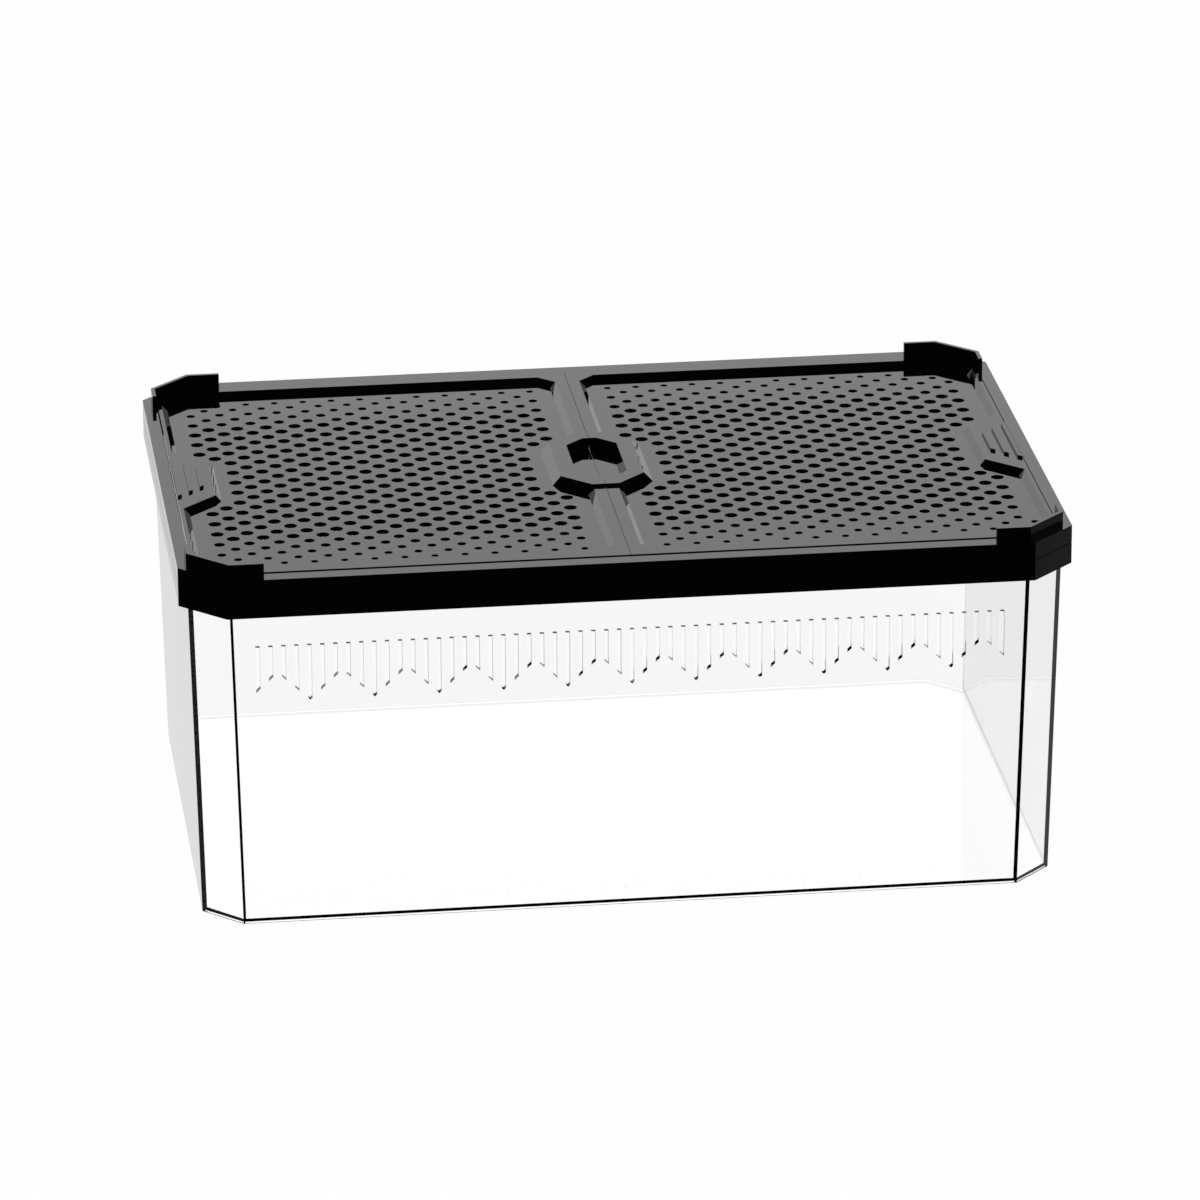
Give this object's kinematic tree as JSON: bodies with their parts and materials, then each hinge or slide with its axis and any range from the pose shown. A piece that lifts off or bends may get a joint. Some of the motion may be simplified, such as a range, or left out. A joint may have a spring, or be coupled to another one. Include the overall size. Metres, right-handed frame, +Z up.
{
  "type": "reptile breeding box",
  "caption": "Clear plastic reptile breeding box with slotted long walls and a black perforated lid of two rocking leaves.",
  "frame": {"origin": "middle of the base, on the surface that the box stands on", "axes": "+X along the box's length, +Y from the front long wall to the rear one, +Z up"},
  "size_m": [0.3, 0.2, 0.1297],
  "materials": {
    "clear_plastic": "clear gloss",
    "black_plastic": "gloss"
  },
  "bodies": {
    "tub_body": {"tub": "clear_plastic", "tub_base": "clear_plastic", "collar": "black_plastic"},
    "lid": {"lid_frame": "black_plastic"},
    "left_cover": {"left_leaf": "black_plastic", "left_vent_panel": "black_plastic"},
    "right_cover": {"right_leaf": "black_plastic", "right_vent_panel": "black_plastic"}
  },
  "joints": [
    {"name": "lid_lift", "type": "slide", "parent": "tub_body", "child": "lid", "axis": [0, 0, 1], "range_m": [0, 0.08]},
    {"name": "left_cover_rock", "type": "hinge", "parent": "lid", "child": "left_cover", "pos_m": [-0.1303, 0, 0.1233], "axis": [0, -1, 0], "range_deg": [0, 80]},
    {"name": "right_cover_rock", "type": "hinge", "parent": "lid", "child": "right_cover", "pos_m": [0.1303, 0, 0.1233], "axis": [0, 1, 0], "range_deg": [0, 80]}
  ]
}
